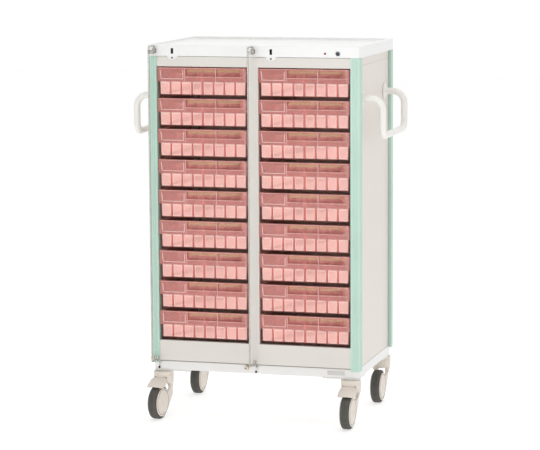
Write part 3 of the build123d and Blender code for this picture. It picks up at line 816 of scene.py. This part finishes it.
def tray_details():
    """Mouldings on a drawer's front band, from its left edge and its top: label holder and lines, all in a
    whitish painted highlight, with a painted highlight dot at the foot of one line.
    """
    left = DRAWER_LOW.x - COLUMN_X - 0.8
    front = DRAWER_LOW.y - MIDDLE_Y
    lines = Shape()
    ridges = (
        ((11.5, 80.5), (31.8, 34.2), 0.8),
        ((78.4, 80.8), (8.0, 33.5), 0.8),
        ((84.6, 85.8), (2.0, 40.0), 0.5),
        ((178.4, 179.8), (1.0, 40.5), 1.0),
        ((264.6, 265.6), (4.0, 40.0), 0.5),
        ((268.0, 269.0), (4.0, 40.0), 0.5),
        ((85.6, 177.0), (26.6, 27.8), 0.5),
        ((181.0, 264.8), (26.6, 27.8), 0.5),
        ((4.0, 269.0), (1.6, 2.6), 0.5),
    )
    for x, z, proud in ridges:
        x = [left + v for v in x]
        lines += block(x, (front - proud, front + 0.4), (-z[1], -z[0]), 0.3)
    outline = [(left + 9.2, -8.0), (left + 11.8, -8.0), (left + 14.4, -33.5), (left + 11.8, -33.5)]
    lines += prism(outline, front - 0.8, front + 0.4, "y", 0.3)
    # Small dome at the foot of one line: a painted highlight dot.
    foot = lathe([(0, -1.6), (1.6, -1.2), (2.0, 0), (2.0, 0.6), (0, 0.6)], "y", 14)
    lines += foot.moved(left + 179.1, front, -40.0)
    return lines.painted(HIGHLIGHT_LINE)


def tray_shape():
    """One drawer about its column's middle, z from its top, with the strips and ribs behind its front: the
    strips are painted shade of the interior, the ribs painted shade for the gaps between cups.
    """
    # Its rounded edges take the painted red edge reflection.
    shell = softened("drawer_right_1", 0.45, REFLECTING_EDGE).moved(-COLUMN_X, 0, -DRAWER_HIGH.z)
    front = DRAWER_LOW.y - MIDDLE_Y
    left = DRAWER_LOW.x - COLUMN_X
    band_low = -42.0
    band_deep, recess_deep = 2.7, 13.0
    recess_start, recess_end = left + 85.0, left + 262.0
    # Faces of the front band take the hazy pink painted inner light.
    for number, face in enumerate(shell.faces):
        corners = [shell.points[i] for i in face]
        in_recess = all(recess_start < p.x < recess_end for p in corners)
        deepest = front + (recess_deep if in_recess else band_deep)
        in_band = all(p.y < deepest and p.z > band_low for p in corners)
        if in_band and shell.slots[number] != REFLECTING_EDGE:
            shell.slots[number] = FRONT_BAND
    behind = (front + 8.3, front + 8.9)
    rib = block((left + 131, left + 139), behind, (-79.5, -18.0), 0.2).painted(FRONT_BAND)
    # Tan strips just behind the finger pull, painted with the dim interior's shade.
    shade_strips = block((left + 88, left + 176), behind, (-14.0, -4.0), 0.2)
    shade_strips += block((left + 182, left + 262), behind, (-14.0, -4.0), 0.2)
    # Red ribs on the front wall between the cups: painted shade for the gaps between them.
    gap_ribs = Shape()
    for place in range(7):
        x = (place - 3) * CUP_PITCH
        gap_ribs += block((x - 1.4, x + 1.4), (front + 8.0, front + 9.4), (-79.0, -42.5), 0.2)
    return shell + tray_details() + rib + shade_strips.painted(SHADE_STRIP) + gap_ribs.painted(GAP_SHADE)


def cup_shape():
    """One open cup about its own middle, floor at z 0, front at y 0: taller at the back, with a beaded rim.

    Its front face is framed by a raised border, painted paler as a highlight, and its rim is painted paler as
    a highlight too.
    """
    deep = CUPS_HIGH.y - CUPS_LOW.y
    tall = CUPS_HIGH.z - CUPS_LOW.z
    low_tall = CUP_FRONT_TALL
    wall = 1.2

    def ring(inset, height=None, below_rim=0.0):
        half = CUP_HALF_LOW + (CUP_HALF_TOP - CUP_HALF_LOW) * (height or tall) / tall - inset
        outline = rounded_rectangle(half, deep / 2 - inset, max(2.4 - inset, 0.8), 3)
        points = []
        for x, y in outline:
            rim = low_tall + (tall - low_tall) * (y / deep + 0.5)
            points.append((x, y + deep / 2, rim - below_rim if height is None else height))
        return points

    rings = [ring(2.2, 0.0), ring(0.7, 0.5), ring(0.1, 2.0)]
    rings += [ring(0.0, None, 3.0), ring(-0.3, None, 2.2), ring(-0.3, None, 0.5), ring(0.0, None, 0.0)]
    rings += [ring(wall * 0.8, None, 0.0), ring(wall, None, 0.5), ring(wall, 3.0), ring(wall + 1.5, wall)]
    cup = loft(rings)
    per_ring = len(rings[0])
    # Rim rings in the paler pink: a painted highlight along the rim.
    for number in range(3 * per_ring, 8 * per_ring):
        cup.slots[number] = 1
    border = Shape()
    low, high = 2.2, low_tall - 3.4
    low_x = CUP_HALF_LOW - 2.2
    high_x = CUP_HALF_TOP - 2.8
    outer = [(-low_x, low), (low_x, low), (high_x, high), (-high_x, high)]
    inner = [(x * 0.88, 2.0 + low + (z - low) * 0.88) for x, z in outer]
    for i in range(4):
        j = (i + 1) % 4
        border += prism([outer[i], outer[j], inner[j], inner[i]], -0.35, 0.4, "y", 0.15, 1)
    return cup + border.painted(1)


def drawers():
    """All 18 trays and their rows of cups, each kind sharing one mesh."""
    tray = tray_shape()
    cups = Shape()
    cup = cup_shape()
    for place in range(8):
        cups += cup.moved((place - 3.5) * CUP_PITCH, CUPS_LOW.y - MIDDLE_Y, CUPS_LOW.z - DRAWER_HIGH.z)
    meshes = {}
    for side in ("left", "right"):
        for row in range(1, 10):
            body = f"drawer_{side}_{row}"
            low, high = limits(body)
            place = Matrix.Translation(((low.x + high.x) / 2, MIDDLE_Y, high.z))
            for kind, shape, materials, node, slot in (
                ("tray", tray, [CLEAR, EDGE_REFLECTION, BAND_INNER_LIGHT, RIDGE_HIGHLIGHT, INTERIOR_SHADE, GAP_SHADE_RIB], body, "clear_pink_acrylic"),
                ("cups", cups, [PINK, CUP_HIGHLIGHT], f"cups_{side}_{row}", "pink_plastic"),
            ):
                name = f"{kind}_{side}_{row}"
                obj = piece(name, shape, materials, body, [node], place, mesh=meshes.get(kind))
                meshes[kind] = obj.data


# ---- Handles ----
def handles():
    """A drooping loop on each side: thick tube with a wide upper bend and a domed flange at each end."""
    wall = PANEL_HIGH.x
    out = GRIP_HIGH.x - GRIP_R
    front, back, top, low = -155.0, 128.0, 957.0, 848.0
    for side, name in ((-1, "left"), (1, "right")):
        corners = [(wall + 3, front, top), (out, front, top), (out, front, low)]
        corners += [(out, back, low), (out, back, top), (wall + 3, back, top)]
        path = bent_path(corners, (34, 27, 27, 34), 9)
        loop = tube(path, GRIP_R, 20)
        dome = [(0, 0), (21.5, 0), (23, 0.8), (23, 2.4), (21.5, 4.2)]
        dome += [(17, 5.4), (13, 6.6), (10.8, 9.0), (10.0, 13.0), (0, 13.0)]
        for y in (front, back):
            loop += lathe(dome, "x", 32).moved(wall, y, top)
        fixed(f"handle_{name}", loop.mirrored(side), GRIP, "warm_white_enamel")
    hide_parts("side_handles")


# ---- Lock bars ----
def lock_bars():
    """Bent rods on their hinges, drawn open, each with a notched striker at the height of its slot."""
    corners = [(0, 0, 158.5), (0, 0, BAR_LOW), (BAR_ARM, 0, BAR_LOW)]
    corners += [(BAR_ARM, 0, BAR_HIGH), (0, 0, BAR_HIGH), (0, 0, 1085)]
    back, tip, notch = -2, 18, 10.5
    hook = [(back, 1085), (tip, 1085), (tip, 1087.5), (notch, 1087.5)]
    hook += [(notch, 1094.5), (tip, 1094.5), (tip, 1097), (back, 1097)]
    for side in ("left", "right"):
        bar = tube(bent_path(corners, (7, 7, 7, 7), 6), BAR_R, 14)
        collar = lathe([(0, 173.5), (3.6, 173.5), (4.1, 174.2), (4.1, 186), (3.6, 187), (0, 187)], "z", 20)
        striker = prism(hook, 50.0, 51.7, "x", 0.3)
        shape = bar + collar + striker
        if side == "right":
            clip = lathe([(2.3, 0), (3.7, 0.3), (3.9, 1), (3.9, 13), (3.7, 13.7), (2.3, 14)], "x", 16)
            shape += clip.moved(20, 0, BAR_LOW)
        turn = Matrix.Rotation(-pi / 2, 4, "Z")
        turn.translation = joint_place(f"lock_bar_{side}_swing")[:2] + (0,)
        piece(f"bar_{side}", shape, [STEEL], f"lock_bar_{side}", [f"lock_bar_{side}"], turn)


def bar_fittings():
    """Barrels, brackets and screws that carry the bars, and the round bumpers beside them."""
    dark, white, brown = 1, 2, 3
    metal = Shape()
    rubber_parts = Shape()
    base_front = -BASE_HALF_Y
    for side in ("left", "right"):
        x, y = joint_place(f"lock_bar_{side}_swing")[:2]
        y -= MIDDLE_Y
        for (low, high), number in ((UPPER_BARREL, 0), (LOWER_BARREL, white)):
            ring = [(2.4, low), (3.9, low), (4.5, low + 0.6), (4.5, high - 0.6), (3.9, high), (2.4, high)]
            metal += lathe(ring, "z", 24, closed=True).moved(x, y).painted(number)
        metal += block((x - 5, x + 5), (y + 3, -HALF_Y + 0.3), (1086, 1097.5), 0.6)
        metal += block((x - 4, x + 4), (y + 3, base_front + 0.3), (157, 165), 0.6).painted(white)
        bracket = (base_front - 2.5, base_front + 0.3)
        metal += block((x - 6.5, x + 6.5), bracket, (144.5, 165), 0.8).painted(white)
        metal += screw(3.6, 1.8).moved(x, bracket[0], 149.8).painted(dark)
        metal += screw(2.6, 1.4).moved(x, bracket[0], 156.6).painted(dark)
        metal += screw(2.6, 1.2).moved(x + SLOT_OFFSET, -HALF_Y + 0.5, 1071).painted(dark)
    reach = -HALF_Y - 7.0
    for x, z, face in ((-313.0, 180.0, -HALF_Y), (-24.0, 162.0, base_front)):
        deep = face - reach
        profile = [(2.2, 2.6), (2.2, 0.3), (2.6, 0), (5.2, 0), (6.3, 1.0)]
        profile += [(6.5, 2.2), (6.5, deep), (0, deep), (0, 2.6)]
        rubber_parts += lathe(profile, "y", 24).moved(x, reach, z)
        metal += screw(2.1, 0.8).moved(x, reach + 2.6, z).painted(brown)
    piece("bar_fittings", metal, [ZINC, BLACK, WHITE, RUST], "cabinet", ["bar_fittings"])
    fixed("bar_bumpers", rubber_parts, BUMPER, "grey_nylon")


def lock_parts():
    """Key lock with its slit, the red telltale beside it, and the slide behind the apron."""
    dark_radius = 5.65
    profile = [(0, -1.2), (3.6, -1.2), (3.9, -1.6), (5.6, -2.0), (6.6, -1.7)]
    profile += [(7.0, -0.9), (7.0, 0.1), (4.9, 0.1), (4.9, 12.0), (0, 12.0)]
    lock = cut(lathe(profile, "y", 32), [block((-0.6, 0.6), (-4, 5), (-3.2, 3.2))])
    lock += block((-3, 3), (9, 12), (-10, 0), 0.4)
    for number, face in enumerate(lock.faces):
        corners = [lock.points[i] for i in face]
        if all(max(abs(p.x), abs(p.z)) < dark_radius for p in corners):
            lock.slots[number] = 1
    piece("key_lock", lock.moved(KEY_X, -HALF_Y, KEY_Z), [CHROME, KEYWAY], "key", ["key_cylinder"])
    lens = lathe([(0, -0.9), (1.6, -0.7), (2.6, -0.2), (3.0, 0.6), (3.0, 3.0), (0, 3.0)], "y", 24)
    fixed("red_telltale", lens.moved(LAMP_X, -HALF_Y, KEY_Z), LENS, "grey_nylon")
    slide = softened("lock_slide", 0.35)
    piece("lock_slide", slide, [BLACK], "lock_slide", ["lock_slide"])


def nameplate():
    """Blank plate at the right of the base front, with a raised border."""
    face = -BASE_HALF_Y
    plate = block((219, 271), (face - 0.7, face + 0.2), (151, 164), 0.3)
    plate += block((221, 269), (face - 1.0, face + 0.1), (153, 162), 0.25)
    fixed("nameplate", plate, PLATE, "steel")


# ---- Casters ----
def leg_plate():
    """Side plate in (y, z): a straight arm behind the wheel that runs into a round cover over the hub."""
    cover_radius = 42.0
    outline = [(4, 112), (28, 112), (29, 108), (29, 68), (28, 64)]
    outline += arc(-CASTER_TRAIL, WHEEL_R, cover_radius, -42, -322, 30)
    outline += [(-2, 82.0), (3, 87)]
    return outline


def fork_flare():
    """Web that carries one side plate out to the crown, in seven levels."""
    inner, outer = 13.2, 16.0
    low, high = 66, 110
    rings = []
    for step in range(7):
        t = step / 6
        ease = t * t * (3 - 2 * t)
        z = low + (high - low) * t
        front = 3.0 - 22.0 * ease * (t > 0.55) * (t - 0.55) / 0.45
        spread = 1 - ease
        ring = [(inner, front), (inner, 26.2)]
        ring += [(outer + 4 * ease, 22.5 + 3.6 * spread), (outer + 9 * ease, 15.0 + 11.0 * spread)]
        ring += [(outer + 12.3 * ease, 7.0 + 18.5 * spread), (outer + 12.3 * ease, max(front, -7.0) + 0.5)]
        rings.append([(x, y, z) for x, y in ring])
    return bevelled(loft(rings), 0.8, 2, 40)


def fork_shape(braked):
    """Grooved crown, two side plates with round covers, and the axle. A braked one has room for the pedal."""
    groove_radius = CROWN_R - 0.5
    top, low = 139.0, 104.0
    profile = [(0, top), (26.5, top), (28.8, top - 0.7), (CROWN_R, top - 2)]
    for at in (129.5, 126.5):
        profile += [(CROWN_R, at + 0.6), (groove_radius, at + 0.3)]
        profile += [(groove_radius, at - 0.3), (CROWN_R, at - 0.6)]
    profile += [(CROWN_R, low + 3), (28.6, low + 0.8), (26.5, low), (0, low)]
    crown = lathe(profile, "z", 40)
    if braked:
        crown = cut(crown, [block((-20.3, 20.3), (-40, -3), (low - 3, 123.4))])
    flare = fork_flare()
    sides = Shape()
    for side in (-1, 1):
        plate = prism(leg_plate(), 13.0, 16.0, "x", 0.9)
        cap = [(0, 16.9), (5.5, 16.8), (6.4, 16.3), (6.4, 15.0), (0, 15.0)]
        boss = lathe(cap, "x", 28).moved(0, -CASTER_TRAIL, WHEEL_R)
        # Thin ring in darker nylon round each cover: a painted shadow line standing for a groove. The rivet
        # below takes the same darker nylon.
        shade_line_profile = [(36.6, 15.6), (36.9, 16.35), (38.0, 16.35), (38.3, 15.6)]
        ring = lathe(shade_line_profile, "x", 48, closed=True).moved(0, -CASTER_TRAIL, WHEEL_R).painted(1)
        rivet = lathe([(0, 16.7), (1.7, 16.6), (2.2, 16.1), (2.2, 15.0), (0, 15.0)], "x", 16)
        sides += (plate + flare + boss + ring + rivet.moved(0, -37, 18).painted(1)).mirrored(side)
    axle = rod(3.9, 15, "x", 20).moved(0, -CASTER_TRAIL, WHEEL_R)
    return crown + sides + axle


def pedal_shape():
    """Foot pedal: a root in the crown, then a hood that widens, slopes down and arches over the tyre.

    Each station is y, half width, top, lower edge and the height of the arch inside.
    """
    stations = (
        (-8.0, 19.8, 122.6, 107.0, 107.5),
        (-29.0, 19.8, 123.1, 107.0, 107.5),
        (-31.0, 22.4, 121.6, 104.0, 107.0),
        (-36.0, 25.0, 119.2, 101.4, 106.5),
        (-44.0, 25.6, 115.4, 99.0, 105.6),
        (-52.0, 25.6, 110.8, 97.5, 104.4),
        (-60.0, 25.2, 105.8, 97.0, 102.4),
        (-65.5, 24.2, 102.2, 97.0, 100.2),
        (-68.0, 22.0, 100.0, 97.6, 98.8),
    )
    inner = 14.5
    rings = []
    for y, half, top, skirt, arch in stations:
        drop = (top - skirt) / 3
        right = [(half * 0.6, top - 0.3), (half - 2.5, top - 1.0), (half, top - drop), (half, skirt + 0.8)]
        right += [(half - 1.0, skirt), (inner + 1.5, skirt), (inner, arch)]
        left = [(-x, z) for x, z in reversed(right)]
        rings.append([(x, y, z) for x, z in [(0, top)] + right + left])
    return bevelled(loft(rings), 0.5, 2, 50)


def tyre_shape():
    """Tyre section turned about the axle, with two shallow tread lines."""
    line = WHEEL_R - 0.7
    tread = [(WHEEL_R, -7.0), (WHEEL_R, -3.6), (line, -3.3), (line, -2.7), (WHEEL_R, -2.4)]
    tread += [(WHEEL_R, 2.4), (line, 2.7), (line, 3.3), (WHEEL_R, 3.6), (WHEEL_R, 7.0)]
    shoulder = arc(45.0, 7.5, 5.0, 18, 90, 4)
    profile = tread + shoulder + [(36.0, 12.2), (34.2, 11.2), (34.2, -11.2), (36.0, -12.2)]
    profile += [(r, -h) for r, h in reversed(shoulder)]
    return lathe(profile, "x", 64, closed=True)


def hub_shape():
    """Wheel centre, dished on both sides."""
    half = [(34.0, 11.0), (30.0, 10.8), (28.0, 7.5), (12.0, 7.5), (9.5, 10.5), (9.0, 11.5), (4.3, 11.5)]
    profile = [(radius, -height) for radius, height in reversed(half)] + half
    return lathe(profile, "x", 48, closed=True)


def casters():
    """Fork, tyre and hub at each corner, turned as their joints are, and a pedal on the front two."""
    shapes = {True: fork_shape(True), False: fork_shape(False)}
    tyre, hub, pedal = tyre_shape(), hub_shape(), pedal_shape()
    for corner in ("front_left", "front_right", "rear_left", "rear_right"):
        axle = JOINTS[f"wheel_{corner}_roll"]["axis"]
        turn = atan2(axle[1], axle[0])
        place = Matrix.Rotation(turn, 4, "Z")
        place.translation = joint_place(f"caster_{corner}_swivel")[:2] + (0,)
        braked = corner.startswith("front")
        node = f"caster_fork_{corner}"
        body = f"caster_{corner}"
        piece(f"fork_{corner}", shapes[braked], [NYLON, DARK_NYLON_AND_SHADE], body, [node], place)
        if braked:
            body = f"brake_pedal_{corner}"
            piece(f"pedal_{corner}", pedal, [PEDAL], body, [body], place)
        centre = Matrix.Rotation(turn, 4, "Z")
        centre.translation = joint_place(f"wheel_{corner}_roll")
        body = f"wheel_{corner}"
        piece(f"tyre_{corner}", tyre, [TYRE], body, [body], centre)
        piece(f"hub_{corner}", hub, [HUB], body, place=centre)


# ---- Floor, light and camera ----
def sky():
    """White surroundings that darken towards the front, where the front lamp takes over."""
    world = bpy.data.worlds.new("studio")
    bpy.context.scene.world = world
    tree = Tree(world)
    parts = tree.add("SeparateXYZ", {0: tree.coordinates["Generated"]}).outputs
    towards_back = tree.remap(parts["Y"], -0.9, 0.35, -0.92, 0.02)
    upward = tree.remap(parts["Z"], 0.0, 1.0, 1.0, 1.02)
    background = tree.nodes["Background"].inputs
    tree.feed(background["Color"], (1, 1, 1, 1))
    tree.feed(background["Strength"], tree.sum(towards_back, upward))


def studio():
    """Pale floor that glows a little, white surroundings, and soft lamps in front, at the right and above."""
    floor_mesh = bpy.data.meshes.new("floor")
    reach = 14.0
    corners = [(x * reach, y * reach, 0) for x, y in ((-1, -1), (1, -1), (1, 1), (-1, 1))]
    floor_mesh.from_pydata(corners, [], [(0, 1, 2, 3)])
    floor = add_object("floor", floor_mesh)
    tree = surface("pale_floor")
    tree.set(
        Base_Color=(0.55, 0.55, 0.55, 1),
        Roughness=0.8,
        Specular_IOR_Level=0.0,
        Emission_Color=(1, 1, 1, 1),
        Emission_Strength=0.6,
    )
    floor_mesh.materials.append(tree.owner)
    sky()
    aim = Vector((0, 0, 0.6))
    lamps = (
        ("front_lamp", (0.0, -6.0, 1.7), 2.6, 130.0),
        ("side_lamp", (4.0, -2.4, 1.8), 2.0, 20.0),
        ("top_lamp", (0.2, -0.2, 3.8), 2.0, 30.0),
    )
    for name, position, size, power in lamps:
        data = bpy.data.lights.new(name, "AREA")
        data.shape = "DISK"
        data.size = size
        data.energy = power
        lamp = add_object(name, data)
        lamp.location = position
        lamp.rotation_mode = "QUATERNION"
        lamp.rotation_quaternion = (aim - Vector(position)).to_track_quat("-Z", "Y")
    scene = bpy.context.scene
    scene.view_settings.view_transform = "Standard"
    scene.cycles.transparent_max_bounces = 32
    scene.cycles.diffuse_bounces = 8


def camera():
    """Long lens from the right front, a little above the worktop."""
    focal_pixels = 2372.94
    image_width = 540.0
    yaw, pitch, roll = radians(15.7515), radians(7.7278), radians(-0.3184)
    ahead = Vector((-sin(yaw) * cos(pitch), cos(yaw) * cos(pitch), -sin(pitch)))
    right = ahead.cross(Vector((0, 0, 1))).normalized()
    up = right.cross(ahead)
    tilted_right = right * cos(roll) + up * sin(roll)
    tilted_up = up * cos(roll) - right * sin(roll)
    matrix = Matrix((tilted_right, tilted_up, -ahead)).transposed().to_4x4()
    matrix.translation = (1.90668, -6.79532 + MIDDLE_Y * MM, 1.51628)
    data = bpy.data.cameras.new("camera")
    data.sensor_width = 36.0
    data.lens = focal_pixels * data.sensor_width / image_width
    data.clip_end = 100.0
    obj = add_object("camera", data)
    obj.matrix_world = matrix
    bpy.context.scene.camera = obj


worktop()
slot_frames()
base()
posts()
side_walls()
back_wall()
front_frame()
rail_painted_shadow()
inner_parts()
drawers()
handles()
lock_bars()
bar_fittings()
lock_parts()
nameplate()
casters()
studio()
camera()
